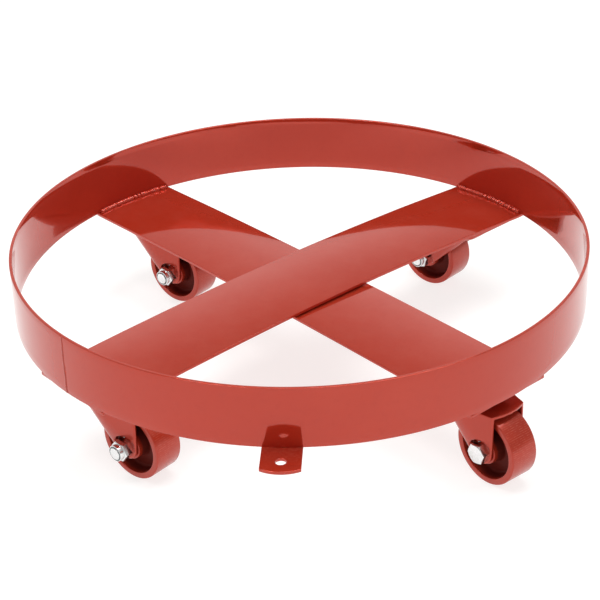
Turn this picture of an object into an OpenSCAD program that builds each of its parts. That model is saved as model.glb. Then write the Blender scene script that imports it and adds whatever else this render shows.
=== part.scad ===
// Drum dolly: a low steel ring on two crossed flat bars, carried by four swivel casters.
// +Z is up and -Y points to the tow tab. The origin is the middle of the top face of the
// upper crossbar, where the two bars cross on the ring's axis.

/* [Ring] */
// Outside diameter of the ring
ring_d = 597; // [580:1:620]
// Thickness of the ring's wall
ring_t = 3.2; // [2.5:0.1:4]
// Height of the ring's wall
ring_h = 63.5; // [45:0.5:80]
// Where the ring's ends are butt welded, as an angle about Z
seam_angle = 224.7; // [215:0.1:235]

/* [Crossbars] */
// Width of each crossbar
bar_w = 101.6; // [95:0.1:105]
// Thickness of each crossbar
bar_t = 3.2; // [2.5:0.1:4]
// Length of each crossbar
bar_l = 589; // [585:1:594]
// How far the upper crossbar's middle bows up above its ends
upper_rise = 8.7; // [7.7:0.1:10]
// How far the lower crossbar's middle bows up above its ends
lower_rise = 3.7; // [3:0.1:4]

/* [Tow tab] */
// Width of the tow tab
tab_w = 38; // [30:0.5:45]
// How far the tow tab stands out from the ring
tab_out = 38; // [32:0.5:45]
// Sagitta of the tow tab's curved front edge
tab_bow = 5; // [3:0.5:7]
// Diameter of the tow hole
tab_hole_d = 10.2; // [8:0.1:12]
// Distance from the ring to the middle of the tow hole
tab_hole_out = 21.7; // [18:0.1:24]

/* [Casters] */
// Distance from the ring's axis to each swivel axis
caster_r = 247; // [240:1:250]
// How far each wheel trails behind its swivel axis
trail = 36.3; // [34:0.1:38]
// Swivel angle of the front left caster's trail about Z
front_left_angle = -37.8; // [-180:0.1:180]
// Swivel angle of the front right caster's trail about Z
front_right_angle = -47.4; // [-180:0.1:180]
// Swivel angle of the back left caster's trail about Z
back_left_angle = -36.1; // [-180:0.1:180]
// Swivel angle of the back right caster's trail about Z
back_right_angle = 140.7; // [-180:0.1:180]

/* [Wheels] */
// Wheel diameter
wheel_d = 75; // [70:0.5:75]
// Width of the tread
wheel_w = 31.8; // [29:0.1:32]
// Wall thickness of the rim
rim_t = 6.5; // [5:0.1:8]
// Depth of the axle below the underside of the bars
axle_drop = 56.1; // [56:0.1:58]

/* [Fork] */
// Thickness of the fork's plate
fork_t = 3; // [2.5:0.1:3.2]
// Width of the fork over its legs
fork_w = 42.6; // [42.2:0.1:44]
// Radius of the fork's crown
crown_r = 31; // [30:0.5:33]
// Radius of the foot of each leg
foot_r = 13; // [12:0.5:14]

/* [Hidden] */
$fn = 96;
gap = 0.05;            // running clearance on a radius
eps = 0.01;            // overcut of the cutting shapes
weld_a = 5;            // leg of the fillet welds under the ring
weld_sweep = 19.3;     // degrees of ring that each crossbar's weld covers
tab_tuck = 8;          // length of the tab inside the ring

ring_r = ring_d / 2;
ring_ir = ring_r - ring_t;
deck_z = -upper_rise;  // top of the bars' ends, and the ring's lower edge
under_z = deck_z - bar_t;

// Each crossbar's side outline: distance from its middle, and the share of its rise there
BOW = [[52, 1], [130, 0.805], [208, 0.505], [286, 0]];
seat_fall = BOW[2][1] / (BOW[3][0] - BOW[2][0]);   // slope over the casters, per mm of rise
seat_lift = seat_fall * (BOW[3][0] - caster_r);    // height over the casters, per mm of rise

plate_l = 73;          // top plate, along the bar
plate_w = 92;          // top plate, across the bar
plate_t = 3;
plate_corner = 8;

ball_r = 3.175;        // upper race
ball_circle_r = 20;
ball_z = -7.4;
small_ball_r = 2.38;   // lower race
small_circle_r = 13;
small_ball_z = -16.3;
race_in_r = 14;
boss_r = 25;           // pressed race under the top plate
boss_z = -5.5;
race_out_r = 28.5;     // race and dust lip on the fork's crown
race_z = -9.3;
lip_z = -5.9;
crown_z = -11.8;       // top of the crown plate
cup_r = 18;            // cup that holds the lower balls
cup_z = -17.7;
cup_floor_z = -20.5;
cup_lip_z = -15.3;
king_r = 8;
king_head_r = 11;
king_head_z = -23;
king_tip_z = -25.5;
king_tip_r = 7;

skirt_z = -20;         // lower edge of the crown's skirt
skirt_x = -20;         // where the legs leave the skirt
lip_bow = 4;           // bulge of the crown's trailing edge

bolt_r = 6.35;
hex_af = 19.05;
bolt_head_t = 7.9;
nut_t = 10.6;
collar_r = 8.4;
collar_t = 4.5;
bolt_end = 0.8;        // thread that shows past the nut
bolt_seat_r = 13.5;     // flats pressed in the fork's feet
bolt_seat_t = 0.5;
bush_r = 9.5;
hub_r = 14.5;
hub_l = 35.8;
web_t = 7;
rim_draft = 1;
rim_edge = 1.2;

fork_in = fork_w - 2 * fork_t;
wheel_r = wheel_d / 2;

red = [0.72, 0.24, 0.19];
zinc = [0.82, 0.82, 0.83];
steel = [0.55, 0.56, 0.58];

// Each caster: name, bar angle, trail angle, side of the nut, turn of its hexagons, rise of its bar
CASTERS = [
    ["front_left", 225, front_left_angle, -1, -6, upper_rise],
    ["front_right", 315, front_right_angle, 1, 10, lower_rise],
    ["back_left", 135, back_left_angle, -1, -8, lower_rise],
    ["back_right", 45, back_right_angle, 1, 16, upper_rise]
];
CASTER_PARTS = [
    "top_plate", "plate_welds", "king_pin", "race_cup", "upper_balls", "lower_balls",
    "fork", "axle_bolt", "axle_nut", "axle_bush", "wheel"
];
FRAME_PARTS = [
    "drum_ring", "ring_seam_weld", "upper_crossbar", "lower_crossbar",
    "crossbar_end_welds", "crossing_welds", "tow_tab", "tow_tab_weld"
];

// ---- Frame ----

module drum_ring() {
    color(red) translate([0, 0, deck_z]) difference() {
        cylinder(r = ring_r, h = ring_h, $fn = 180);
        translate([0, 0, -1]) cylinder(r = ring_ir, h = ring_h + 2, $fn = 180);
    }
}

// Narrow upright bead outside the ring, over its butt joint
module ring_seam_weld() {
    bead_t = 0.9;
    bead_sweep = 0.8;
    color(red) rotate(seam_angle - bead_sweep / 2) rotate_extrude(angle = bead_sweep, $fn = 180)
        translate([ring_r, deck_z + 0.5]) square([bead_t, ring_h - 1]);
}

// A crossbar, bowed upwards between its ends, which lie flat under the ring
module crossbar(angle, rise) {
    half = bar_l / 2;
    right = concat([for (b = BOW) [b[0], rise * b[1]]], [[half, 0]]);
    left = [for (i = [len(right) - 1:-1:0]) [-right[i][0], right[i][1]]];
    top = concat(left, right);
    low = [for (i = [len(top) - 1:-1:0]) [top[i][0], top[i][1] - bar_t]];
    color(red) rotate(angle) translate([0, bar_w / 2, deck_z]) rotate([90, 0, 0])
        linear_extrude(bar_w) polygon(concat(top, low));
}

module upper_crossbar() {
    crossbar(45, upper_rise);
}

module lower_crossbar() {
    crossbar(-45, lower_rise);
}

// Fillet bead in the corner between the ring's inner wall and the plane z
module ring_fillet(leg, sweep, z) {
    bulge = 0.62;
    rotate_extrude(angle = sweep, $fn = 180) polygon([
        [ring_ir - leg, z], [ring_ir, z], [ring_ir, z + leg],
        [ring_ir - leg * (1 - bulge), z + leg * bulge]
    ]);
}

module crossbar_end_welds() {
    color(red) for (a = [45:90:315]) rotate(a - weld_sweep / 2)
        ring_fillet(weld_a, weld_sweep, deck_z);
}

// Beads between the bars, along both edges of the lower one
module crossing_welds() {
    bead_l = 70;
    edge = bar_w / 2;
    seat_z = deck_z + lower_rise;
    color(red) for (side = [0, 1]) rotate(45 + 180 * side)
        translate([0, bead_l / 2, 0]) rotate([90, 0, 0]) linear_extrude(bead_l) polygon([
            [edge - 2, seat_z], [edge, seat_z], [edge, seat_z - 1.5], [edge + 1.6, seat_z],
            [edge + 1, -bar_t], [edge - 2, -bar_t]
        ]);
}

// Flat lug under the ring's lower edge, with a bowed front edge and one hole
module tow_tab() {
    bow_r = (pow(tab_w / 2, 2) + pow(tab_bow, 2)) / (2 * tab_bow);
    front = ring_r + tab_out;
    tail = ring_ir - tab_tuck;
    color(red) translate([0, 0, under_z]) difference() {
        intersection() {
            translate([-tab_w / 2, -front, 0]) cube([tab_w, front - tail, bar_t]);
            union() {
                translate([0, bow_r - front, 0]) cylinder(r = bow_r, h = bar_t);
                translate([-tab_w / 2, bow_r - front, 0]) cube([tab_w, front - tail, bar_t]);
            }
        }
        translate([0, -ring_r - tab_hole_out, -1]) cylinder(d = tab_hole_d, h = bar_t + 2);
    }
}

module tow_tab_weld() {
    sweep = 6.8;
    color(red) rotate(270 - sweep / 2) ring_fillet(4, sweep, deck_z);
}

// ---- Caster: x is the way the wheel trails, y lies along the axle, z = 0 is level with the bar's end ----

module ball_groove(circle_r, r, z) {
    translate([0, 0, z]) rotate_extrude() translate([circle_r, 0]) circle(r = r + gap, $fn = 32);
}

// The plate's top follows the slope of its bar, so that the swivel axis stands upright
module plate_wedge(lift, fall) {
    translate([0, plate_w, 0]) rotate([90, 0, 0]) linear_extrude(2 * plate_w) polygon([
        [-plate_l, -plate_t], [plate_l, -plate_t],
        [plate_l, lift - fall * plate_l], [-plate_l, lift + fall * plate_l]
    ]);
}

module top_plate(rise) {
    inner = [plate_l / 2 - plate_corner, plate_w / 2 - plate_corner];
    tall = 12;
    color(red) difference() {
        union() {
            intersection() {
                plate_wedge(rise * seat_lift, rise * seat_fall);
                union() {
                    for (w = [[plate_l, 2 * inner[1]], [2 * inner[0], plate_w]])
                        translate([-w[0] / 2, -w[1] / 2, -plate_t]) cube([w[0], w[1], tall]);
                    for (x = [-1, 1], y = [-1, 1])
                        translate([x * inner[0], y * inner[1], -plate_t])
                            cylinder(r = plate_corner, h = tall);
                }
            }
            translate([0, 0, boss_z]) cylinder(r = boss_r, h = -plate_t - boss_z + eps);
        }
        translate([0, 0, boss_z - 1]) cylinder(r = race_in_r, h = -plate_t - boss_z + 1);
        ball_groove(ball_circle_r, ball_r, ball_z);
        translate([0, 0, -10]) cylinder(r = king_r, h = 10);
    }
}

// Fillet beads between the bar's underside and the plate's two long sides
module plate_welds(rise) {
    leg = 3;
    bead_l = plate_w - 2 * plate_corner - 6;
    fall = rise * seat_fall;
    color(red) for (side = [-1, 1]) {
        top = rise * seat_lift - side * fall * plate_l / 2;
        rotate(90 - 90 * side) translate([plate_l / 2, bead_l / 2, 0]) rotate([90, 0, 0])
            linear_extrude(bead_l) polygon([
                [0, top], [leg, top - side * fall * leg], [leg * 0.6, top - leg * 0.6], [0, top - leg]
            ]);
    }
}

module king_pin() {
    color(steel) {
        translate([0, 0, cup_floor_z]) cylinder(r = king_r, h = -cup_floor_z);
        translate([0, 0, king_head_z]) cylinder(r = king_head_r, h = cup_floor_z - king_head_z);
        translate([0, 0, king_tip_z])
            cylinder(r1 = king_tip_r, r2 = king_head_r, h = king_head_z - king_tip_z);
    }
}

module race_cup() {
    color(steel) difference() {
        translate([0, 0, cup_floor_z]) cylinder(r = cup_r, h = cup_lip_z - cup_floor_z);
        translate([0, 0, cup_z]) cylinder(r = cup_r - 1.6, h = 5);
        ball_groove(small_circle_r, small_ball_r, small_ball_z);
        translate([0, 0, cup_floor_z - 1]) cylinder(r = king_r, h = 10);
    }
}

module ball_row(count, circle_r, r, z) {
    color(steel) for (i = [0:count - 1]) rotate(360 * i / count)
        translate([circle_r, 0, z]) sphere(r = r, $fn = 32);
}

module upper_balls() {
    ball_row(18, ball_circle_r, ball_r, ball_z);
}

module lower_balls() {
    ball_row(15, small_circle_r, small_ball_r, small_ball_z);
}

// Round bar across the fork at the axle
module across(r, length) {
    translate([trail, 0, -axle_drop]) rotate([90, 0, 0]) cylinder(r = r, h = length, center = true);
}

// Blank of the fork: the round crown drawn down to the two feet
module fork_blank() {
    end_x = trail + foot_r;
    bow = [for (i = [-4:4]) [end_x + lip_bow * (1 - pow(i / 4, 2)), fork_w / 2 * i / 4]];
    hull() {
        translate([0, 0, crown_z - fork_t]) cylinder(r = crown_r, h = fork_t, $fn = 64);
        translate([0, 0, crown_z - fork_t]) linear_extrude(fork_t)
            polygon(concat([[0, -fork_w / 2]], bow, [[0, fork_w / 2]]));
        across(foot_r, fork_w + 2 * bolt_seat_t, $fn = 48);
    }
}

// Space between the legs, open below, behind and in front
module fork_hollow() {
    far = 40;
    rim = 2;
    top = crown_z - fork_t - 0.5;
    hull() {
        translate([0, 0, top]) cylinder(r = crown_r - fork_t, h = 0.5, $fn = 64);
        translate([0, -fork_in / 2, top]) cube([trail + foot_r - rim, fork_in, 0.5]);
        across(foot_r - rim, fork_in, $fn = 48);
    }
    hull() {
        translate([0, -fork_in / 2, top]) cube([trail + far, fork_in, 0.5]);
        translate([skirt_x - rim, -fork_in / 2, skirt_z - 0.5]) cube([far, fork_in, 0.5]);
        for (shift = [[0, 0, 0], [far, 0, 0], [0, 0, -far]])
            translate(shift) across(foot_r, fork_in, $fn = 48);
    }
}

// Everything below the skirt and ahead of the legs' straight front edges
module fork_front_cut() {
    dx = trail - skirt_x;
    dz = -axle_drop - skirt_z;
    reach = sqrt(dx * dx + dz * dz - foot_r * foot_r);
    slope = atan2(dz, dx) - asin(foot_r / norm([dx, dz]));
    tangent = [skirt_x + reach * cos(slope), skirt_z + reach * sin(slope)];
    translate([0, crown_r + 1, 0]) rotate([90, 0, 0]) linear_extrude(2 * crown_r + 2)
        polygon([[-60, skirt_z], [skirt_x, skirt_z], tangent, [tangent[0], -90], [-60, -90]]);
}

module fork() {
    color(red) difference() {
        union() {
            difference() {
                fork_blank();
                fork_hollow();
                fork_front_cut();
            }
            translate([0, 0, crown_z - 1]) cylinder(r = race_out_r, h = lip_z - crown_z + 1);
        }
        translate([0, 0, race_z]) cylinder(r = boss_r + 0.5, h = 5);
        ball_groove(ball_circle_r, ball_r, ball_z);
        ball_groove(small_circle_r, small_ball_r, small_ball_z);
        translate([0, 0, -30]) cylinder(r = king_r + gap, h = 30);
        across(bolt_r + gap, 2 * fork_w);
        for (side = [-1, 1]) on_axle(side) cylinder(r = bolt_seat_r, h = crown_r);
    }
}

module hexagon(thickness, turn) {
    rotate(turn) cylinder(d = hex_af / cos(30), h = thickness, $fn = 6);
}

// Puts a shape drawn along +z on the axle, looking out of one side of the fork
module on_axle(side) {
    translate([trail, side * fork_w / 2, -axle_drop]) rotate([-90 * side, 0, 0]) children();
}

module axle_bolt(side, turn) {
    shank_l = fork_w + nut_t + collar_t + bolt_end;
    color(zinc) {
        on_axle(-side) hexagon(bolt_head_t, turn);
        on_axle(side) translate([0, 0, -fork_w]) cylinder(r = bolt_r, h = shank_l);
    }
}

module axle_nut(side, turn) {
    color(zinc) on_axle(side) difference() {
        union() {
            hexagon(nut_t, turn);
            cylinder(r = collar_r, h = nut_t + collar_t);
        }
        translate([0, 0, -1]) cylinder(r = bolt_r + gap, h = nut_t + collar_t + 2);
    }
}

module axle_bush() {
    color(steel) difference() {
        across(bush_r, fork_in - 2 * gap);
        across(bolt_r + gap, fork_w);
    }
}

module wheel() {
    rim_in = wheel_r - rim_t;
    side = [
        [hub_r, -hub_l / 2], [hub_r + 1, -web_t / 2], [rim_in - rim_draft, -web_t / 2],
        [rim_in, -wheel_w / 2], [wheel_r - rim_edge, -wheel_w / 2],
        [wheel_r, rim_edge - wheel_w / 2]
    ];
    back = [for (i = [len(side) - 1:-1:0]) [side[i][0], -side[i][1]]];
    bore_r = bush_r + gap;
    color(red) translate([trail, 0, -axle_drop]) rotate([90, 0, 0])
        rotate_extrude($fn = 128)
            polygon(concat([[bore_r, -hub_l / 2]], side, back, [[bore_r, hub_l / 2]]));
}

// ---- Where things go ----

// The swivel axis under its bar, square to the bar
module at_bar(c) {
    rotate(c[1]) translate([caster_r, 0, under_z]) children();
}

// The same place, turned the way the wheel trails
module at_swivel(c) {
    at_bar(c) rotate(c[2] - c[1]) children();
}

drum_ring();
ring_seam_weld();
upper_crossbar();
lower_crossbar();
crossbar_end_welds();
crossing_welds();
tow_tab();
tow_tab_weld();
for (c = CASTERS) {
    at_bar(c) top_plate(c[5]);
    at_bar(c) plate_welds(c[5]);
    at_bar(c) king_pin();
    at_bar(c) race_cup();
    at_swivel(c) upper_balls();
    at_swivel(c) lower_balls();
    at_swivel(c) fork();
    at_swivel(c) axle_bolt(c[3], c[4]);
    at_swivel(c) axle_nut(c[3], c[4]);
    at_swivel(c) axle_bush();
    at_swivel(c) wheel();
}
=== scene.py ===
# %% [markdown]
# # A drum dolly in red enamel
# A steel drum stands inside a low ring, on two crossed flat bars, and rolls on four swivel
# casters. Everything is mild steel or cast iron that was welded together and then dipped or
# sprayed red, so the look lives in three things: soft bends and rippled welds, a glossy and
# slightly wavy coat, and bright zinc bolts that break the red.

# %% Load the frame
import math
import bmesh
import bpy
from mathutils import Matrix, Quaternion, Vector


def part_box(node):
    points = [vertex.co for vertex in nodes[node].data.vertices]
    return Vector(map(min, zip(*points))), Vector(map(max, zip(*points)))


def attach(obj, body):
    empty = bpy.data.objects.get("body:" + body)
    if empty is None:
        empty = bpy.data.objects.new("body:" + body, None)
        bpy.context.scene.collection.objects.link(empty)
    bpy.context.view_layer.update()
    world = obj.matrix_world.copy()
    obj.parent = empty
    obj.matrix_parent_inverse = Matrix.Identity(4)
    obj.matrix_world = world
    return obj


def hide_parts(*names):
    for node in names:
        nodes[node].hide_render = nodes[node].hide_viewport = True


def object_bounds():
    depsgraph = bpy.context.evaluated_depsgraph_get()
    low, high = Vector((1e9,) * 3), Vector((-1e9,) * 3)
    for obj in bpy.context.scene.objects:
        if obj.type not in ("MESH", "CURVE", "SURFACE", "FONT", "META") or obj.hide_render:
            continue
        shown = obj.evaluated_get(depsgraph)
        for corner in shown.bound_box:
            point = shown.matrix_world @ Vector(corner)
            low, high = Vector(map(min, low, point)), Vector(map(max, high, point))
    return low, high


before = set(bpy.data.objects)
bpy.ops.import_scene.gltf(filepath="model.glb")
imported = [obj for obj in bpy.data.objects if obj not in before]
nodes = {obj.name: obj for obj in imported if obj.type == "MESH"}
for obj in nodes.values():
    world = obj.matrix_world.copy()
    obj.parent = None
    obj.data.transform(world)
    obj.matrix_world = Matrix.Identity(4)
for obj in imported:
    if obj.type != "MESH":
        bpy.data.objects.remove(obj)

MM = 0.001
cad_low, cad_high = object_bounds()
print("CAD box in mm:", [round(v / MM, 1) for v in cad_high - cad_low])

# %% [markdown]
# The camera comes first, because every other choice is judged through it. It is a long lens
# from about 1.8 m, thirty degrees above the floor and four degrees to the right of the tab.

# %% Camera
ring_low, ring_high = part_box("drum_ring")
aim = Vector((-0.0002, -0.0070, ring_low.z - 0.0123))
camera_azimuth = math.radians(4.0)
camera_elevation = math.radians(29.62)
camera_roll = math.radians(-1.757)
camera_distance = 1.8007
camera_back = Vector((
    math.sin(camera_azimuth) * math.cos(camera_elevation),
    -math.cos(camera_azimuth) * math.cos(camera_elevation),
    math.sin(camera_elevation),
))
bpy.ops.object.select_all(action="DESELECT")
bpy.ops.object.camera_add()
camera = bpy.context.object
camera.data.sensor_width = 36
camera.data.lens = 102.29
camera.location = aim + camera_back * camera_distance
camera.rotation_mode = "QUATERNION"
level = (-camera_back).to_track_quat("-Z", "Y")
camera.rotation_quaternion = level @ Quaternion((0, 0, 1), camera_roll)
camera.data.clip_end = 50
bpy.context.scene.camera = camera
print("camera at", [round(v, 3) for v in camera.location])

# %% [markdown]
# A gloss coat shows its surroundings, so the studio matters as much as the paint. The bars
# mirror the wall behind the dolly, which is why the surround is brighter there and dimmer
# overhead: that gives the bars their pale sheen, and it fades towards the front. Large soft
# lamps overhead light the upward faces and keep the shadows faint.

# %% Studio
def soft_lamp(name, place, size, watts):
    bpy.ops.object.light_add(type="AREA", location=place)
    lamp = bpy.context.object
    lamp.name = name
    lamp.data.shape = "DISK"
    lamp.data.size = size
    lamp.data.energy = watts
    lamp.rotation_mode = "QUATERNION"
    lamp.rotation_quaternion = (-Vector(place)).to_track_quat("-Z", "Y")
    return lamp


def studio_surround(overhead, back_wall):
    """Even light from all round, brighter on the wall behind the dolly, up to some 30 degrees."""
    world = bpy.data.worlds.new("studio")
    world.use_nodes = True
    tree = world.node_tree
    backdrop = tree.nodes["Background"]
    backdrop.inputs["Color"].default_value = (1.0, 0.99, 0.975, 1)
    bpy.context.scene.world = world
    way = tree.nodes.new("ShaderNodeTexCoord").outputs["Generated"]
    split = tree.nodes.new("ShaderNodeSeparateXYZ")
    tree.links.new(way, split.inputs[0])
    height = tree.nodes.new("ShaderNodeMapRange")
    behind = tree.nodes.new("ShaderNodeMapRange")
    both = tree.nodes.new("ShaderNodeMath")
    both.operation = "MULTIPLY"
    strength = tree.nodes.new("ShaderNodeMapRange")
    for node, source, low, high, to_low, to_high in (
        (height, split.outputs["Z"], 0.36, 0.72, 1.0, 0.0),
        (behind, split.outputs["Y"], 0.35, 0.7, 0.0, 1.0),
        (strength, both.outputs[0], 0.0, 1.0, overhead, back_wall),
    ):
        tree.links.new(source, node.inputs["Value"])
        node.inputs["From Min"].default_value = low
        node.inputs["From Max"].default_value = high
        node.inputs["To Min"].default_value = to_low
        node.inputs["To Max"].default_value = to_high
    tree.links.new(height.outputs[0], both.inputs[0])
    tree.links.new(behind.outputs[0], both.inputs[1])
    tree.links.new(strength.outputs[0], backdrop.inputs["Strength"])


studio_surround(0.42, 0.85)
soft_lamp("key_lamp", (-0.9, -0.7, 2.3), 0.9, 26)
soft_lamp("fill_lamp", (1.7, -1.5, 1.9), 1.6, 8)
soft_lamp("top_lamp", (0.4, 0.3, 2.6), 2.0, 52)
bpy.context.scene.view_settings.view_transform = "Standard"

# %% [markdown]
# ## Helpers
# Modelling by operator means selecting first. These few helpers start from an empty
# selection, pick vertices, edges or faces by their place, and settle a finished piece.

# %% Selection helpers
def start_clean():
    if bpy.context.object and bpy.context.object.mode != "OBJECT":
        bpy.ops.object.mode_set(mode="OBJECT")
    bpy.ops.object.select_all(action="DESELECT")


def open_edit(obj, kind="VERT"):
    start_clean()
    obj.select_set(True)
    bpy.context.view_layer.objects.active = obj
    bpy.ops.object.mode_set(mode="EDIT")
    bpy.ops.mesh.select_mode(type=kind)
    bpy.ops.mesh.select_all(action="DESELECT")


def close_edit():
    bpy.ops.object.mode_set(mode="OBJECT")


def pick(obj, kind, wanted):
    """Selects the vertices, edges or faces for which wanted() is true, and counts them."""
    bpy.ops.mesh.select_mode(type=kind)
    bpy.ops.mesh.select_all(action="DESELECT")
    mesh = bmesh.from_edit_mesh(obj.data)
    found = 0
    for part in {"VERT": mesh.verts, "EDGE": mesh.edges, "FACE": mesh.faces}[kind]:
        if wanted(part):
            part.select = True
            found += 1
    mesh.select_flush_mode()
    bmesh.update_edit_mesh(obj.data)
    return found


def push(offset):
    bpy.ops.transform.translate(value=offset)


def extrude(offset):
    bpy.ops.mesh.extrude_region_move(TRANSFORM_OT_translate={"value": offset})


# %% Modifier and placing helpers
def modify(obj, kind, **settings):
    """Adds a modifier, applies it, and leaves the object active."""
    start_clean()
    obj.select_set(True)
    bpy.context.view_layer.objects.active = obj
    modifier = obj.modifiers.new(kind.lower(), kind)
    for key, value in settings.items():
        setattr(modifier, key, value)
    bpy.ops.object.modifier_apply(modifier=modifier.name)


def settle(obj, place=Matrix.Identity(4)):
    """Moves a piece to its place and leaves its object at the origin."""
    start_clean()
    obj.select_set(True)
    bpy.context.view_layer.objects.active = obj
    obj.matrix_world = place @ obj.matrix_world
    bpy.ops.object.transform_apply(location=True, rotation=True, scale=True)


def shade(obj, degrees=35):
    start_clean()
    obj.select_set(True)
    bpy.context.view_layer.objects.active = obj
    bpy.ops.object.shade_smooth_by_angle(angle=math.radians(degrees))


def copy_of(obj, name):
    twin = bpy.data.objects.new(name, obj.data.copy())
    bpy.context.scene.collection.objects.link(twin)
    return twin


def stand_in(obj, node, material, body):
    """The piece takes over from its CAD node, with that node's finish and body."""
    obj.name = "shown_" + node
    obj.data.name = obj.name
    obj.data.materials.clear()
    obj.data.materials.append(material)
    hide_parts(node)
    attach(obj, body)


# %% [markdown]
# ## Paint
# The coat is one red, laid by eye: it is a little uneven in tone, it has the fine dimples
# called orange peel, and under the gloss the rolled sheet waves gently, which is what bends
# the reflections. Each of these is a node group, used again in every red material.

# %% Node helpers
def tree_node(tree, kind, **values):
    made = tree.nodes.new(kind)
    for key, value in values.items():
        if hasattr(made, key):
            setattr(made, key, value)
        else:
            made.inputs[key.replace("_", " ")].default_value = value
    return made


def new_group(name, inputs, outputs):
    tree = bpy.data.node_groups.new(name, "ShaderNodeTree")
    for label, kind, value in inputs:
        socket = tree.interface.new_socket(name=label, in_out="INPUT", socket_type=kind)
        if value is not None:
            socket.default_value = value
    for label, kind in outputs:
        tree.interface.new_socket(name=label, in_out="OUTPUT", socket_type=kind)
    return tree, tree.nodes.new("NodeGroupInput"), tree.nodes.new("NodeGroupOutput")


def noise(tree, vector, scale, detail=2.0, rough=0.5):
    made = tree_node(tree, "ShaderNodeTexNoise", Detail=detail, Roughness=rough)
    tree.links.new(vector, made.inputs["Vector"])
    if isinstance(scale, (int, float)):
        made.inputs["Scale"].default_value = scale
    else:
        tree.links.new(scale, made.inputs["Scale"])
    return made.outputs["Fac"]


def maths(tree, operation, first, second=0.0, third=None):
    made = tree_node(tree, "ShaderNodeMath", operation=operation)
    for index, value in enumerate((first, second) if third is None else (first, second, third)):
        if isinstance(value, (int, float)):
            made.inputs[index].default_value = value
        else:
            tree.links.new(value, made.inputs[index])
    return made.outputs[0]


def spread(tree, value, low, high, to_low=0.0, to_high=1.0):
    """Stretches a value from one range to another and stops at its ends."""
    made = tree_node(tree, "ShaderNodeMapRange", clamp=True)
    made.inputs["From Min"].default_value = low
    made.inputs["From Max"].default_value = high
    made.inputs["To Min"].default_value = to_low
    made.inputs["To Max"].default_value = to_high
    tree.links.new(value, made.inputs["Value"])
    return made.outputs["Result"]


def mixed(tree, factor, first, second, blend="MIX"):
    made = tree_node(tree, "ShaderNodeMix", data_type="RGBA", blend_type=blend)
    wanted = ((made.inputs[0], factor), (made.inputs[6], first), (made.inputs[7], second))
    for socket, value in wanted:
        if isinstance(value, (int, float, tuple)):
            socket.default_value = value
        else:
            tree.links.new(value, socket)
    return made.outputs[2]


# %% Group: orange peel and sheet waves
def make_coat_relief():
    tree, given, out = new_group(
        "coat relief",
        [("Vector", "NodeSocketVector", None), ("Peel size", "NodeSocketFloat", 650.0),
         ("Peel depth", "NodeSocketFloat", 0.25), ("Wave size", "NodeSocketFloat", 14.0),
         ("Wave depth", "NodeSocketFloat", 1.0)],
        [("Height", "NodeSocketFloat")],
    )
    peel = noise(tree, given.outputs["Vector"], given.outputs["Peel size"], 1.5)
    wave = noise(tree, given.outputs["Vector"], given.outputs["Wave size"], 1.0, 0.3)
    height = maths(tree, "ADD", maths(tree, "MULTIPLY", peel, given.outputs["Peel depth"]),
                   maths(tree, "MULTIPLY", wave, given.outputs["Wave depth"]))
    tree.links.new(height, out.inputs["Height"])
    return tree


coat_relief = make_coat_relief()

# %% Group: uneven tone
def make_coat_tone():
    tree, given, out = new_group(
        "coat tone",
        [("Vector", "NodeSocketVector", None), ("Paint", "NodeSocketColor", None),
         ("Thin", "NodeSocketColor", None), ("Thick", "NodeSocketColor", None)],
        [("Color", "NodeSocketColor"), ("Roughness", "NodeSocketFloat")],
    )
    broad = noise(tree, given.outputs["Vector"], 9.0, 3.0)
    fine = noise(tree, given.outputs["Vector"], 140.0, 3.0, 0.6)
    pale = spread(tree, broad, 0.45, 0.75, 0.0, 0.55)
    deep = spread(tree, fine, 0.5, 0.8, 0.0, 0.35)
    colour = mixed(tree, pale, given.outputs["Paint"], given.outputs["Thin"])
    colour = mixed(tree, deep, colour, given.outputs["Thick"])
    tree.links.new(colour, out.inputs["Color"])
    tree.links.new(spread(tree, fine, 0.3, 0.8, 0.0, 0.06), out.inputs["Roughness"])
    return tree


coat_tone = make_coat_tone()

# %% Group: rubbed edges and painted edge highlight
# Sharp edges turn a paler red: partly paint rubbed thin to the primer, partly a painted highlight
# along the edges.
def make_edge_rub_and_highlight():
    tree, given, out = new_group(
        "edge wear and highlight",
        [("Vector", "NodeSocketVector", None), ("Amount", "NodeSocketFloat", 0.5)],
        [("Mask", "NodeSocketFloat")],
    )
    geometry = tree_node(tree, "ShaderNodeNewGeometry")
    edge = spread(tree, geometry.outputs["Pointiness"], 0.52, 0.62)
    broken = spread(tree, noise(tree, given.outputs["Vector"], 320.0, 4.0, 0.65), 0.42, 0.62)
    mask = maths(tree, "MULTIPLY", maths(tree, "MULTIPLY", edge, broken), given.outputs["Amount"])
    tree.links.new(mask, out.inputs["Mask"])
    return tree


edge_rub_and_highlight = make_edge_rub_and_highlight()

# %% Group: settled dust
def make_dust():
    tree, given, out = new_group(
        "settled dust",
        [("Vector", "NodeSocketVector", None), ("Amount", "NodeSocketFloat", 0.1)],
        [("Mask", "NodeSocketFloat")],
    )
    geometry = tree_node(tree, "ShaderNodeNewGeometry")
    split = tree_node(tree, "ShaderNodeSeparateXYZ")
    tree.links.new(geometry.outputs["Normal"], split.inputs[0])
    upward = spread(tree, split.outputs["Z"], 0.6, 1.0)
    cloud = spread(tree, noise(tree, given.outputs["Vector"], 38.0, 5.0, 0.7), 0.4, 0.75)
    mask = maths(tree, "MULTIPLY", maths(tree, "MULTIPLY", upward, cloud), given.outputs["Amount"])
    tree.links.new(mask, out.inputs["Mask"])
    return tree


settled_dust = make_dust()
print("groups:", [g.name for g in bpy.data.node_groups])

# %% [markdown]
# The red itself is a Principled BSDF. Where enamel mirrors a dark thing it turns a deep red,
# and where it mirrors the light wall it turns a pale, still reddish, red. So there are two
# mirrors in the paint: a clear coat, which reflects white as white, and a lustre beneath it,
# a share of Metallic, which reflects everything in the paint's own red. The rest is matte.
# `gloss` is the coat's weight and `lustre` is that share.

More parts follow.
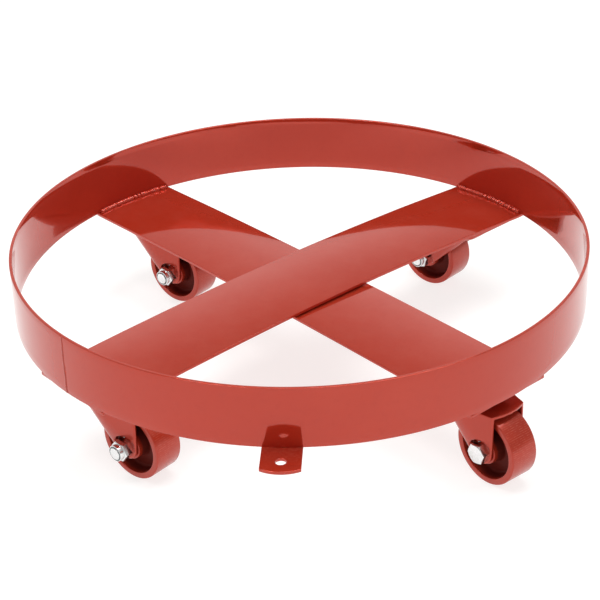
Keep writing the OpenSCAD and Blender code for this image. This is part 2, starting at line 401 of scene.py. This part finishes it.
# %% Red paint
def new_material(name):
    material = bpy.data.materials.new(name)
    material.use_nodes = True
    tree = material.node_tree
    place = tree_node(tree, "ShaderNodeTexCoord").outputs["Object"]
    return material, tree, tree.nodes["Principled BSDF"], place


def use_group(tree, group, vector=None, **values):
    made = tree_node(tree, "ShaderNodeGroup", node_tree=group)
    if vector is not None:
        tree.links.new(vector, made.inputs["Vector"])
    for key, value in values.items():
        made.inputs[key.replace("_", " ")].default_value = value
    return made


RED = (0.46, 0.036, 0.015, 1)
RED_THIN = (0.50, 0.046, 0.021, 1)
RED_THICK = (0.41, 0.029, 0.012, 1)
# A pale red for the edges: primer showing through, and also a painted edge highlight.
PRIMER_AND_HIGHLIGHT = (0.60, 0.13, 0.08, 1)
DUST = (0.62, 0.42, 0.36, 1)


def red_paint(name, gloss, coat_rough, base_rough, lustre=0.5, peel=0.25, wave=1.0, rub_and_highlight=0.5,
              dust=0.1, deepen=1.0):
    material, tree, surface, place = new_material(name)
    tones = {"Paint": RED, "Thin": RED_THIN, "Thick": RED_THICK}
    tones = {k: tuple(c * deepen for c in v[:3]) + (1,) for k, v in tones.items()}
    tone = use_group(tree, coat_tone, place, **tones)
    worn_and_highlighted = use_group(tree, edge_rub_and_highlight, place, Amount=rub_and_highlight)
    dusty = use_group(tree, settled_dust, place, Amount=dust)
    relief = use_group(tree, coat_relief, place, Peel_depth=peel, Wave_depth=wave)
    # Edges are mixed toward the pale red, partly worn paint and partly painted highlight.
    colour = mixed(tree, worn_and_highlighted.outputs["Mask"], tone.outputs["Color"], PRIMER_AND_HIGHLIGHT)
    colour = mixed(tree, dusty.outputs["Mask"], colour, DUST)
    tree.links.new(colour, surface.inputs["Base Color"])
    rough = maths(tree, "ADD", tone.outputs["Roughness"], base_rough)
    rough = maths(tree, "MULTIPLY_ADD", dusty.outputs["Mask"], 0.5, rough)
    tree.links.new(rough, surface.inputs["Roughness"])
    bump = tree_node(tree, "ShaderNodeBump", Strength=1.0, Distance=0.00012)
    tree.links.new(relief.outputs["Height"], bump.inputs["Height"])
    tree.links.new(bump.outputs["Normal"], surface.inputs["Normal"])
    surface.inputs["IOR"].default_value = 1.5
    surface.inputs["Metallic"].default_value = lustre
    surface.inputs["Specular IOR Level"].default_value = 0.0
    surface.inputs["Coat Weight"].default_value = gloss
    surface.inputs["Coat Roughness"].default_value = coat_rough
    surface.inputs["Coat IOR"].default_value = 1.5
    return material


enamel = red_paint("red_enamel", 0.85, 0.03, 0.08, peel=0.08, wave=5.0, rub_and_highlight=0.25, dust=0.03)
weld_paint = red_paint("weld_enamel", 1.0, 0.05, 0.1, peel=0.3, wave=0.6, rub_and_highlight=0.3, dust=0.0)
caster_paint = red_paint("caster_enamel", 0.8, 0.12, 0.18, 0.45, peel=0.3, wave=0.8, rub_and_highlight=0.4,
                         dust=0.06)
print("red materials:", [m.name for m in bpy.data.materials if "enamel" in m.name])

# %% [markdown]
# The wheels are cast iron, turned on a lathe and sprayed. The tool left fine rings, which
# run round each wheel, so the pattern reads two values that the mesh carries with it: how
# far across the tread a point is, and how far it is from the axle. The same two values find
# the recess beside the web, which is painted dark and nearly without gloss as painted shade.

# %% Wheel paint
def make_lathe_lines():
    tree, given, out = new_group(
        "lathe lines", [("Vector", "NodeSocketVector", None)], [("Height", "NodeSocketFloat")]
    )
    total = None
    for attribute in ("across_tread", "from_axle"):
        read = tree_node(tree, "ShaderNodeAttribute", attribute_name=attribute)
        lines = tree_node(tree, "ShaderNodeTexNoise", noise_dimensions="1D", Scale=1.0,
                          Detail=3.0, Roughness=0.7)
        position = maths(tree, "MULTIPLY", read.outputs["Fac"], 1900.0)
        tree.links.new(position, lines.inputs["W"])
        fine = lines.outputs["Fac"]
        total = fine if total is None else maths(tree, "ADD", total, fine)
    skip = noise(tree, given.outputs["Vector"], 60.0, 2.0)
    tree.links.new(maths(tree, "MULTIPLY", total, spread(tree, skip, 0.3, 0.7, 0.55, 1.0)),
                   out.inputs["Height"])
    return tree


lathe_lines = make_lathe_lines()


# Painted shade: a mask for the deep recess beside the web, between rim and hub.
def make_recess_shade_mask():
    tree, given, out = new_group("recess shade mask", [], [("Mask", "NodeSocketFloat")])
    read = [tree_node(tree, "ShaderNodeAttribute", attribute_name=name).outputs["Fac"]
            for name in ("across_tread", "from_axle")]
    below_rim = (15.2 * MM, 12.5 * MM)
    inside_rim = (31.2 * MM, 30.5 * MM)
    depth = spread(tree, maths(tree, "ABSOLUTE", read[0]), *below_rim)
    inside = spread(tree, read[1], *inside_rim)
    tree.links.new(maths(tree, "MULTIPLY", depth, inside), out.inputs["Mask"])
    return tree


recess_shade_mask = make_recess_shade_mask()
# A dark red painted into the recess as shade, with little coat and lustre left there.
RECESS_SHADE = (0.13, 0.017, 0.012, 1)
WHEEL_GLOSS, WHEEL_LUSTRE, RECESS_SHADE_SHARE = 0.8, 0.4, 0.1


def wheel_paint():
    material = red_paint("wheel_enamel", WHEEL_GLOSS, 0.2, 0.28, WHEEL_LUSTRE, peel=0.3, wave=0.3,
                         rub_and_highlight=0.5, dust=0.05, deepen=0.95)
    tree = material.node_tree
    surface = tree.nodes["Principled BSDF"]
    place = next(n for n in tree.nodes if n.type == "TEX_COORD").outputs["Object"]
    # Painted shade: in the recess the colour turns dark and the coat and lustre nearly vanish.
    shaded_recess = use_group(tree, recess_shade_mask).outputs["Mask"]
    fresh = surface.inputs["Base Color"].links[0].from_socket
    tree.links.new(mixed(tree, shaded_recess, fresh, RECESS_SHADE), surface.inputs["Base Color"])
    for socket, full in (("Coat Weight", WHEEL_GLOSS), ("Metallic", WHEEL_LUSTRE)):
        share = spread(tree, shaded_recess, 0.0, 1.0, full, RECESS_SHADE_SHARE)
        tree.links.new(share, surface.inputs[socket])
    lines = use_group(tree, lathe_lines, place)
    bump = tree_node(tree, "ShaderNodeBump", Strength=0.8, Distance=0.00008)
    coat = surface.inputs["Normal"].links[0].from_socket
    tree.links.new(lines.outputs["Height"], bump.inputs["Height"])
    tree.links.new(coat, bump.inputs["Normal"])
    tree.links.new(bump.outputs["Normal"], surface.inputs["Normal"])
    return material


wheel_enamel = wheel_paint()

# %% [markdown]
# The bolts and nuts are bright zinc plate over steel. Zinc is a metal that scatters a
# little, so it is never as sharp as chrome, and handling leaves it unevenly dull.

# %% Zinc, nylon and bare steel
def bare_metal(name, colour, dull, rough, streak=90.0, grease=0.0):
    material, tree, surface, place = new_material(name)
    patch = noise(tree, place, streak, 4.0, 0.6)
    fine = noise(tree, place, 1400.0, 2.0)
    colour_now = mixed(tree, spread(tree, patch, 0.35, 0.75), colour, dull)
    tree.links.new(colour_now, surface.inputs["Base Color"])
    tree.links.new(spread(tree, patch, 0.3, 0.75, rough, rough + 0.14), surface.inputs["Roughness"])
    bump = tree_node(tree, "ShaderNodeBump", Strength=0.35, Distance=0.00003)
    tree.links.new(fine, bump.inputs["Height"])
    tree.links.new(bump.outputs["Normal"], surface.inputs["Normal"])
    surface.inputs["Metallic"].default_value = 1.0
    surface.inputs["Coat Weight"].default_value = grease
    return material


zinc = bare_metal("bright_zinc", (0.86, 0.87, 0.88, 1), (0.70, 0.71, 0.70, 1), 0.16)
thread_steel = bare_metal("zinc_thread", (0.66, 0.67, 0.68, 1), (0.50, 0.50, 0.50, 1), 0.28)
ball_steel = bare_metal("greased_ball_steel", (0.56, 0.55, 0.53, 1), (0.34, 0.31, 0.27, 1), 0.14,
                        grease=0.5)
bush_steel = bare_metal("turned_bush_steel", (0.50, 0.50, 0.51, 1), (0.36, 0.35, 0.34, 1), 0.3)


def nylon_insert():
    material, tree, surface, place = new_material("nylon_insert")
    cloud = noise(tree, place, 500.0, 3.0)
    tint = mixed(tree, spread(tree, cloud, 0.35, 0.7), (0.15, 0.17, 0.18, 1), (0.24, 0.26, 0.27, 1))
    tree.links.new(tint, surface.inputs["Base Color"])
    surface.inputs["Roughness"].default_value = 0.42
    surface.inputs["Subsurface Weight"].default_value = 0.2
    surface.inputs["Subsurface Scale"].default_value = 0.001
    return material


nylon = nylon_insert()

# %% [markdown]
# ## The ring
# The ring was a strip of 3.2 mm sheet, rolled to a circle and butt welded. It could be a
# cylinder cut by a smaller one, but a strip is what it is, so it starts as a circle of
# edges, is extruded upwards, given its thickness inwards, and has its sheared edges eased.

# %% Ring
ring_radius = ring_high.x
ring_wall = 3.2 * MM
deck_z = ring_low.z
EDGE_EASE = 0.45 * MM


def rolled_ring():
    start_clean()
    bpy.ops.mesh.primitive_circle_add(vertices=288, radius=ring_radius, location=(0, 0, deck_z))
    ring = bpy.context.object
    open_edit(ring)
    bpy.ops.mesh.select_all(action="SELECT")
    lifts = 8
    for _ in range(lifts):
        extrude((0, 0, (ring_high.z - deck_z) / lifts))
    bpy.ops.mesh.select_all(action="SELECT")
    bpy.ops.mesh.normals_make_consistent(inside=False)
    close_edit()
    modify(ring, "SOLIDIFY", thickness=ring_wall, offset=-1)
    modify(ring, "BEVEL", width=EDGE_EASE, segments=3, limit_method="ANGLE",
           angle_limit=math.radians(50))
    settle(ring)
    shade(ring)
    return ring


ring = rolled_ring()
stand_in(ring, "drum_ring", enamel, "frame")
print("ring:", len(ring.data.polygons), "faces, radius", round(ring_radius / MM, 1))

# %% [markdown]
# ## The crossed bars
# Two lengths of flat bar cross in the middle. Their ends are welded flat under the ring, and
# the welding has bowed them upwards, the upper one more, so that it clears the lower. Each
# starts as a flat sheet that bisecting planes cut across; the cuts are lifted to the bow,
# eased into soft bends, and only then does the sheet get its thickness.

# %% Crossbars
bar_length = 589 * MM
bar_width = 101.6 * MM
bar_thick = 3.2 * MM
BOW = ((52 * MM, 1.0), (130 * MM, 0.805), (208 * MM, 0.505), (286 * MM, 0.0))
BEND_EASE = 14 * MM


def flat_sheet(top_z):
    start_clean()
    bpy.ops.mesh.primitive_plane_add(size=1, location=(0, 0, top_z))
    sheet = bpy.context.object
    open_edit(sheet)
    bpy.ops.mesh.select_all(action="SELECT")
    bpy.ops.transform.resize(value=(bar_length, bar_width, 1))
    return sheet


def bowed_bar(node, angle):
    low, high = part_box(node)
    rise = high.z - deck_z
    bar = flat_sheet(deck_z)
    for x, _ in BOW:
        for side in (-1, 1):
            bpy.ops.mesh.select_all(action="SELECT")
            bpy.ops.mesh.bisect(plane_co=(side * x, 0, deck_z), plane_no=(1, 0, 0))
    for x, share in BOW:
        if share:
            pick(bar, "VERT", lambda v: abs(abs(v.co.x) - x) < 1e-5)
            push((0, 0, rise * share))
    for x, _ in BOW:
        ease = BEND_EASE if x < BOW[-1][0] else BEND_EASE / 4
        pick(bar, "EDGE", lambda e: all(abs(abs(v.co.x) - x) < 1e-5 for v in e.verts)
             and e.verts[0].co.x * e.verts[1].co.x > 0)
        bpy.ops.mesh.bevel(offset=ease, segments=4, affect="EDGES")
    close_edit()
    modify(bar, "SOLIDIFY", thickness=bar_thick, offset=-1)
    modify(bar, "BEVEL", width=EDGE_EASE, segments=3, limit_method="ANGLE",
           angle_limit=math.radians(60))
    settle(bar, Matrix.Rotation(math.radians(angle), 4, "Z"))
    shade(bar, 30)
    stand_in(bar, node, enamel, "frame")
    print(bar.name, "stands", round(rise / MM, 1), "mm above its ends")


bowed_bar("upper_crossbar", 45)
bowed_bar("lower_crossbar", -45)

# %% [markdown]
# ## The tow tab
# A short flat lug with a bowed front edge and one hole, welded under the ring. The exact
# CAD shape is right, so a copy of its mesh is cleaned (doubles merged, flat triangles
# dissolved into whole faces) and its sheared edges are eased.

# %% Tow tab
def eased_copy(node, width, segments=3, angle=40):
    piece = copy_of(nodes[node], "eased_" + node)
    open_edit(piece)
    bpy.ops.mesh.select_all(action="SELECT")
    bpy.ops.mesh.remove_doubles(threshold=1e-6)
    bpy.ops.mesh.dissolve_limited(angle_limit=math.radians(1.5))
    close_edit()
    modify(piece, "BEVEL", width=width, segments=segments, limit_method="ANGLE",
           angle_limit=math.radians(angle), use_clamp_overlap=True)
    settle(piece)
    shade(piece)
    return piece


tab = eased_copy("tow_tab", 0.4 * MM)
stand_in(tab, "tow_tab", enamel, "frame")
print("tab:", len(tab.data.polygons), "faces")

# %% [markdown]
# ## Weld beads
# A hand-fed arc leaves a row of overlapping, slightly tilted coins. One coin is modelled
# from a flattened sphere; it is copied along each seam with small changes of size, the
# copies are joined, and a voxel remesh with a little smoothing runs them into one bead.

# %% Weld coin
import random

weld_luck = random.Random(11)


def weld_coin():
    start_clean()
    bpy.ops.mesh.primitive_uv_sphere_add(segments=14, ring_count=9, radius=1)
    coin = bpy.context.object
    open_edit(coin)
    pick(coin, "VERT", lambda v: v.co.z < -0.3)
    bpy.ops.transform.resize(value=(0.9, 0.9, 0.4))
    pick(coin, "VERT", lambda v: v.co.x > 0.4)
    push((0.12, 0, -0.12))
    close_edit()
    return coin


coin = weld_coin()


def bead(spots, voxel):
    """Runs coins along the spots: each is a place, the way the torch went, up, and a size."""
    copies = []
    for place, along, up, size in spots:
        along = along.normalized()
        side = up.cross(along).normalized()
        up_now = along.cross(side)
        wobble = weld_luck.uniform(0.84, 1.12)
        turn = Matrix((along, side, up_now)).transposed().to_4x4()
        height = size[2] * weld_luck.uniform(0.85, 1.1)
        scale = Matrix.Diagonal((size[0], size[1] * wobble, height, 1))
        twin = copy_of(coin, "coin")
        slip = along * weld_luck.uniform(-0.25, 0.25) * size[0]
        twin.matrix_world = Matrix.Translation(place + slip) @ turn @ scale
        copies.append(twin)
    start_clean()
    for twin in copies:
        twin.select_set(True)
    bpy.context.view_layer.objects.active = copies[0]
    bpy.ops.object.join()
    run = bpy.context.object
    settle(run)
    modify(run, "REMESH", mode="VOXEL", voxel_size=voxel, use_smooth_shade=True)
    modify(run, "SMOOTH", factor=0.4, iterations=1)
    return run


def join_runs(runs, node):
    start_clean()
    for run in runs:
        run.select_set(True)
    bpy.context.view_layer.objects.active = runs[0]
    if len(runs) > 1:
        bpy.ops.object.join()
    piece = bpy.context.object
    shade(piece, 60)
    stand_in(piece, node, weld_paint, "frame")
    print(piece.name, len(piece.data.polygons), "faces")
    return piece


def polar(radius, degrees, z):
    angle = math.radians(degrees)
    return Vector((radius * math.cos(angle), radius * math.sin(angle), z))


# %% Beads at the bars' ends and behind the tab
ring_inside = ring_radius - ring_wall


def corner_run(middle, sweep, leg, step):
    """Spots of a fillet in the corner between the ring's inner wall and a plate's top."""
    spots = []
    count = round(math.radians(sweep) * ring_inside / step)
    for i in range(count + 1):
        degrees = middle + sweep * (i / count - 0.5)
        place = polar(ring_inside - leg * 0.22, degrees, deck_z + leg * 0.22)
        outward = polar(1, degrees, 0)
        along = Vector((-outward.y, outward.x, 0))
        up = (Vector((0, 0, 1)) - outward).normalized()
        spots.append((place, along, up, (leg * 0.26, leg * 0.72, leg * 0.56)))
    return spots


BAR_SWEEP, TAB_SWEEP = 18.1, 5.8
end_runs = [bead(corner_run(45 + 90 * i, BAR_SWEEP, 5 * MM, 2.6 * MM), 0.4 * MM)
            for i in range(4)]
join_runs(end_runs, "crossbar_end_welds")
join_runs([bead(corner_run(270, TAB_SWEEP, 4 * MM, 1.7 * MM), 0.4 * MM)], "tow_tab_weld")

# %% Bead up the ring's butt joint
SEAM_ANGLE = 224.7


def seam_spots():
    outward = polar(1, SEAM_ANGLE, 0)
    low, high = deck_z + 1.5 * MM, ring_high.z - 1.4 * MM
    count = 30
    for i in range(count + 1):
        z = low + (high - low) * i / count
        drift = weld_luck.uniform(-0.1, 0.1)
        place = polar(ring_radius - 0.2 * MM, SEAM_ANGLE + drift, z)
        yield place, Vector((0, 0, 1)), outward, (1.0 * MM, 1.9 * MM, 1.0 * MM)


join_runs([bead(list(seam_spots()), 0.3 * MM)], "ring_seam_weld")

# %% Beads in the gap at the crossing
CROSSING_REACH, CROSSING_HALF, CROSSING_Z = 50.9 * MM, 33.5 * MM, -4.5 * MM


def straight_spots(start, end, up, size, step):
    along = end - start
    count = round(along.length / step)
    return [(start + along * (i / count), along, up, size) for i in range(count + 1)]


crossing_runs = []
for side in (1, -1):
    turn = Matrix.Rotation(math.radians(45), 4, "Z")
    start = turn @ Vector((side * CROSSING_REACH, -CROSSING_HALF, CROSSING_Z))
    end = turn @ Vector((side * CROSSING_REACH, CROSSING_HALF, CROSSING_Z))
    up = turn.to_3x3() @ Vector((side * 0.8, 0, -0.6))
    spots = straight_spots(start, end, up, (1.5 * MM, 1.3 * MM, 1.2 * MM), 1.6 * MM)
    crossing_runs.append(bead(spots, 0.4 * MM))
join_runs(crossing_runs, "crossing_welds")

# %% [markdown]
# ## Casters
# Four like casters, so each part is modelled once, about its own axis, and then copied to
# four places. A caster's own axes are: x the way the wheel trails, y along the axle, and
# z up from the underside of the bar.

# %% Caster places
under_z = deck_z - bar_thick
CASTER_REACH = 247 * MM
TRAIL = 36.3 * MM
AXLE_DROP = 56.1 * MM
FORK_WIDTH = 42.6 * MM
CASTERS = (
    # name, bar's angle, trail's angle, nut's side of the axle, turn of the hexagons
    ("front_left", 225, -37.8, -1, -6),
    ("front_right", 315, -47.4, 1, 10),
    ("back_left", 135, -36.1, -1, -8),
    ("back_right", 45, 140.7, 1, 16),
)


def at_bar(bar_angle):
    out = Matrix.Translation((CASTER_REACH, 0, under_z))
    return Matrix.Rotation(math.radians(bar_angle), 4, "Z") @ out


def at_swivel(bar_angle, trail_angle):
    return at_bar(bar_angle) @ Matrix.Rotation(math.radians(trail_angle - bar_angle), 4, "Z")


def on_axle(side):
    """Looking out of one side of the fork: z runs outwards along the axle."""
    return Matrix.Translation((TRAIL, side * FORK_WIDTH / 2, -AXLE_DROP)) @ Matrix.Rotation(
        math.radians(-90 * side), 4, "X")


def give_to(model, node, material, body, place):
    piece = copy_of(model, node)
    settle(piece, place)
    stand_in(piece, node, material, body)
    return piece


def put_away(*models):
    for model in models:
        bpy.data.objects.remove(model, do_unlink=True)


# %% [markdown]
# ### Wheels
# A cast iron wheel: a thick rim, a thin web in a deep recess on both sides, and a hub that
# runs on a steel bush. It is shaped as on a lathe, from a disc: each side is inset for the
# rim, pushed in for the recess, inset again and drawn out for the hub, and bored through.

# %% Wheel
WHEEL_RADIUS = 37.5 * MM
TREAD_WIDTH = 31.8 * MM
RIM_WALL = 6.5 * MM
WEB = 7 * MM
HUB_RADIUS = 14.5 * MM
HUB_LENGTH = 35.8 * MM
BORE_RADIUS = 9.55 * MM


def ring_edges(radius, z):
    """True for edges that lie on the circle of that radius at height z or -z."""
    def wanted(edge):
        return all(abs(v.co.xy.length - radius) < 0.05 * MM and abs(abs(v.co.z) - z) < 0.05 * MM
                   for v in edge.verts)
    return wanted


def turned_wheel():
    start_clean()
    bpy.ops.mesh.primitive_cylinder_add(vertices=112, radius=WHEEL_RADIUS, depth=TREAD_WIDTH)
    wheel = bpy.context.object
    open_edit(wheel, "FACE")
    rim_in = WHEEL_RADIUS - RIM_WALL
    draft = 0.965
    for side in (1, -1):
        pick(wheel, "FACE", lambda f: f.normal.z * side > 0.9)
        bpy.ops.mesh.inset(thickness=RIM_WALL)
        extrude((0, 0, -side * (TREAD_WIDTH - WEB) / 2))
        bpy.ops.transform.resize(value=(draft, draft, 1))
        bpy.ops.mesh.inset(thickness=rim_in * draft - HUB_RADIUS - 0.8 * MM)
        extrude((0, 0, side * (HUB_LENGTH - WEB) / 2))
        slim = HUB_RADIUS / (HUB_RADIUS + 0.8 * MM)
        bpy.ops.transform.resize(value=(slim, slim, 1))
        bpy.ops.mesh.inset(thickness=HUB_RADIUS - BORE_RADIUS)
        bpy.ops.mesh.delete(type="FACE")
    pick(wheel, "EDGE", ring_edges(BORE_RADIUS, HUB_LENGTH / 2))
    bpy.ops.mesh.bridge_edge_loops()
    for radius, z, ease, steps in (
        (WHEEL_RADIUS, TREAD_WIDTH / 2, 1.3 * MM, 4),
        (rim_in, TREAD_WIDTH / 2, 0.6 * MM, 3),
        (rim_in * draft, WEB / 2, 2.6 * MM, 4),
        (HUB_RADIUS + 0.8 * MM, WEB / 2, 2.2 * MM, 4),
        (HUB_RADIUS, HUB_LENGTH / 2, 0.7 * MM, 3),
    ):
        found = pick(wheel, "EDGE", ring_edges(radius, z))
        print("wheel edge at", round(radius / MM, 1), "mm:", found)
        bpy.ops.mesh.bevel(offset=ease, segments=steps, affect="EDGES")
    bpy.ops.mesh.select_all(action="SELECT")
    bpy.ops.mesh.remove_doubles(threshold=1e-6)
    bpy.ops.mesh.normals_make_consistent(inside=False)
    close_edit()
    readings = {"across_tread": lambda co: co.z, "from_axle": lambda co: co.xy.length}
    for name, reading in readings.items():
        layer = wheel.data.attributes.new(name, "FLOAT", "POINT")
        layer.data.foreach_set("value", [reading(v.co) for v in wheel.data.vertices])
    shade(wheel, 40)
    return wheel


wheel_model = turned_wheel()
print("wheel:", len(wheel_model.data.polygons), "faces")

# %% [markdown]
# ### Forks
# A fork is one stamping: a round crown that carries the ball race, drawn down into two
# legs. The press leaves no sharp corner, so the exact CAD fork is copied, remade as small
# even faces by a voxel remesh, and smoothed until its corners have a pressed radius.

# %% Fork
def pressed_fork():
    fork = copy_of(nodes["front_left_fork"], "fork_model")
    name, bar_angle, trail_angle = CASTERS[0][:3]
    settle(fork, at_swivel(bar_angle, trail_angle).inverted())
    open_edit(fork)
    bpy.ops.mesh.select_all(action="SELECT")
    bpy.ops.mesh.remove_doubles(threshold=1e-6)
    close_edit()
    modify(fork, "REMESH", mode="VOXEL", voxel_size=0.7 * MM, use_smooth_shade=True)
    modify(fork, "SMOOTH", factor=0.5, iterations=5)
    shade(fork, 60)
    return fork


fork_model = pressed_fork()
print("fork:", len(fork_model.data.polygons), "faces")

# %% [markdown]
# ### Axle bolts and lock nuts
# Each axle is a half inch bolt with a hexagon head. Its nut has a collar crimped over a
# nylon ring, and the end of the bolt just shows. A hexagon is cut from bar and its corners
# are turned off at thirty degrees, which a boolean with a turned blank repeats exactly.

# %% Hexagons
HEX_FLATS = 19.05 * MM
HEAD_THICK = 7.9 * MM
NUT_THICK = 10.6 * MM
COLLAR_RADIUS = 8.4 * MM
COLLAR_THICK = 4.5 * MM
NYLON_DEPTH = 0.9 * MM
BOLT_RADIUS = 6.35 * MM
BOLT_SHOWS = 0.8 * MM


def turned_hexagon(thick, chamfer_high=1.05 * MM):
    corner = HEX_FLATS / 2 / math.cos(math.radians(30))
    start_clean()
    bpy.ops.mesh.primitive_cylinder_add(vertices=6, radius=corner, depth=thick,
                                        location=(0, 0, thick / 2))
    blank = bpy.context.object
    start_clean()
    turned, spare = corner * 1.02, 1 * MM
    straight = thick - chamfer_high
    bpy.ops.mesh.primitive_cylinder_add(vertices=72, radius=turned, depth=straight + spare,
                                        location=(0, 0, (straight - spare) / 2))
    turning = bpy.context.object
    open_edit(turning, "FACE")
    pick(turning, "FACE", lambda f: f.normal.z > 0.9)
    extrude((0, 0, chamfer_high))
    narrow = HEX_FLATS / 2 * 0.96 / turned
    bpy.ops.transform.resize(value=(narrow, narrow, 1))
    close_edit()
    modify(blank, "BOOLEAN", operation="INTERSECT", object=turning, solver="EXACT")
    put_away(turning)
    settle(blank, Matrix.Rotation(math.radians(30), 4, "Z"))
    return blank


def round_bar(radius, low, high, end_ease, sides=64):
    start_clean()
    bpy.ops.mesh.primitive_cylinder_add(vertices=sides, radius=radius, depth=high - low,
                                        location=(0, 0, (low + high) / 2))
    bar = bpy.context.object
    open_edit(bar, "EDGE")
    pick(bar, "EDGE", lambda e: all(v.co.z > (high - low) / 2 - 1e-6 for v in e.verts))
    bpy.ops.mesh.bevel(offset=end_ease, segments=3, affect="EDGES")
    close_edit()
    settle(bar)
    return bar


def merge_pieces(*pieces):
    start_clean()
    for piece in pieces:
        piece.select_set(True)
    bpy.context.view_layer.objects.active = pieces[0]
    bpy.ops.object.join()
    return bpy.context.object


# %% Bolt and nut
def hexagon_head():
    head = turned_hexagon(HEAD_THICK)
    modify(head, "BEVEL", width=0.22 * MM, segments=2, limit_method="ANGLE",
           angle_limit=math.radians(20))
    shade(head, 25)
    return head


def lock_nut():
    body = turned_hexagon(NUT_THICK)
    modify(body, "BEVEL", width=0.25 * MM, segments=2, limit_method="ANGLE",
           angle_limit=math.radians(20))
    top = NUT_THICK + COLLAR_THICK
    collar = round_bar(COLLAR_RADIUS, NUT_THICK - 1 * MM, top, 0.5 * MM)
    open_edit(collar, "FACE")
    pick(collar, "FACE", lambda f: f.normal.z > 0.9 and f.calc_center_median().z > top - 1e-5)
    bpy.ops.mesh.inset(thickness=0.3 * MM)
    extrude((0, 0, -NYLON_DEPTH))
    close_edit()
    collar.data.materials.clear()
    for coat in (zinc, nylon):
        collar.data.materials.append(coat)
    for face in collar.data.polygons:
        if face.normal.z > 0.9 and abs(face.center.z - (top - NYLON_DEPTH)) < 1e-5:
            face.material_index = 1
    body.data.materials.append(zinc)
    nut = merge_pieces(body, collar)
    shade(nut, 25)
    return nut


head_model = hexagon_head()
shank_model = round_bar(BOLT_RADIUS, -FORK_WIDTH, NUT_THICK + COLLAR_THICK + BOLT_SHOWS, 0.7 * MM)
shade(shank_model, 25)
nut_model = lock_nut()
print("bolt head:", len(head_model.data.polygons), "faces")
print("nut:", len(nut_model.data.polygons), "faces")

# %% [markdown]
# ### Fitting the casters
# The king pin, the race cup, the balls and the bush are the right shape as they are, so
# they keep their CAD meshes and only get their finish.

# %% Caster assembly
SEAT_FALL = BOW[2][1] / (BOW[3][0] - BOW[2][0])
SEAT_TO_END = BOW[3][0] - CASTER_REACH
PLATE_SEAM, PLATE_HALF = 37.3 * MM, 34 * MM


def plate_beads(rise):
    """One run down each long side of a top plate, under the sloping bar."""
    runs = []
    for side in (1, -1):
        seam_z = rise * SEAT_FALL * (SEAT_TO_END - side * PLATE_SEAM) - 0.8 * MM
        start = Vector((side * PLATE_SEAM, -PLATE_HALF, seam_z))
        end = Vector((side * PLATE_SEAM, PLATE_HALF, seam_z))
        up = Vector((side, 0, -1)).normalized()
        spots = straight_spots(start, end, up, (1.4 * MM, 2.1 * MM, 1.4 * MM), 1.7 * MM)
        runs.append(bead(spots, 0.4 * MM))
    return merge_pieces(*runs)


def show_node(node, material):
    mesh = nodes[node].data
    mesh.materials.clear()
    mesh.materials.append(material)


UPPER_RISE, LOWER_RISE = 8.7 * MM, 3.7 * MM
bead_models = {"front_left": plate_beads(UPPER_RISE), "front_right": plate_beads(LOWER_RISE)}
plate_models = {}
for name, bar_angle, *_ in CASTERS[:2]:
    shade(bead_models[name], 60)
    plate_models[name] = eased_copy(name + "_top_plate", 0.4 * MM)
    settle(plate_models[name], at_bar(bar_angle).inverted())
LIKE = {"back_left": "front_right", "back_right": "front_left"}
CAD_SHOWN = {"king_pin": thread_steel, "race_cup": bush_steel, "upper_balls": ball_steel,
             "lower_balls": ball_steel, "axle_bush": bush_steel}

for name, bar_angle, trail_angle, side, hex_turn in CASTERS:
    swivel, roller = name + "_swivel", name + "_roller"
    bar_place, place = at_bar(bar_angle), at_swivel(bar_angle, trail_angle)
    twist = Matrix.Rotation(math.radians(hex_turn), 4, "Z")
    like = LIKE.get(name, name)
    give_to(bead_models[like], name + "_plate_welds", weld_paint, "frame", bar_place)
    give_to(plate_models[like], name + "_top_plate", caster_paint, "frame", bar_place)
    give_to(fork_model, name + "_fork", caster_paint, swivel, place)
    to_axle = Matrix.Translation((TRAIL, 0, -AXLE_DROP))
    axle = place @ to_axle @ Matrix.Rotation(math.radians(90), 4, "X")
    give_to(wheel_model, name + "_wheel", wheel_enamel, roller, axle)
    head, shank = copy_of(head_model, "head"), copy_of(shank_model, "shank")
    settle(head, place @ on_axle(-side) @ twist)
    settle(shank, place @ on_axle(side))
    bolt = merge_pieces(head, shank)
    stand_in(bolt, name + "_axle_bolt", zinc, swivel)
    nut = copy_of(nut_model, "nut")
    settle(nut, place @ on_axle(side) @ twist)
    nylon_faces = [f.index for f in nut.data.polygons if f.material_index == 1]
    stand_in(nut, name + "_axle_nut", zinc, swivel)
    nut.data.materials.append(nylon)
    for index in nylon_faces:
        nut.data.polygons[index].material_index = 1
    for part, finish in CAD_SHOWN.items():
        show_node(name + "_" + part, finish)
    print("fitted", name, "with", len(nylon_faces), "nylon faces")
put_away(wheel_model, fork_model, head_model, shank_model, nut_model, coin,
         *bead_models.values(), *plate_models.values())

# %% [markdown]
# ## Floor
# A plain white floor, just under the wheels, wide enough to fill every view. It is lit a
# little from within, like a light table, which keeps the shadows faint and lifts the
# undersides of the wheels. From below it is clear, so that the underside can be seen.

# %% Floor
def pale_floor():
    start_clean()
    bpy.ops.mesh.primitive_plane_add(size=12, location=(0, 0, cad_low.z - 0.05 * MM))
    floor = bpy.context.object
    floor.name = "floor"
    material, tree, surface, place = new_material("floor_paint")
    cloud = noise(tree, place, 1.2, 2.0)
    grey, light_grey = (0.30, 0.30, 0.297, 1), (0.32, 0.32, 0.317, 1)
    tone = mixed(tree, spread(tree, cloud, 0.3, 0.7), grey, light_grey)
    tree.links.new(tone, surface.inputs["Base Color"])
    surface.inputs["Roughness"].default_value = 0.9
    surface.inputs["Specular IOR Level"].default_value = 0.1
    surface.inputs["Emission Color"].default_value = (1.0, 0.99, 0.98, 1)
    surface.inputs["Emission Strength"].default_value = 0.78
    behind = tree_node(tree, "ShaderNodeNewGeometry").outputs["Backfacing"]
    tree.links.new(spread(tree, behind, 0.0, 1.0, 1.0, 0.0), surface.inputs["Alpha"])
    floor.data.materials.append(material)


pale_floor()
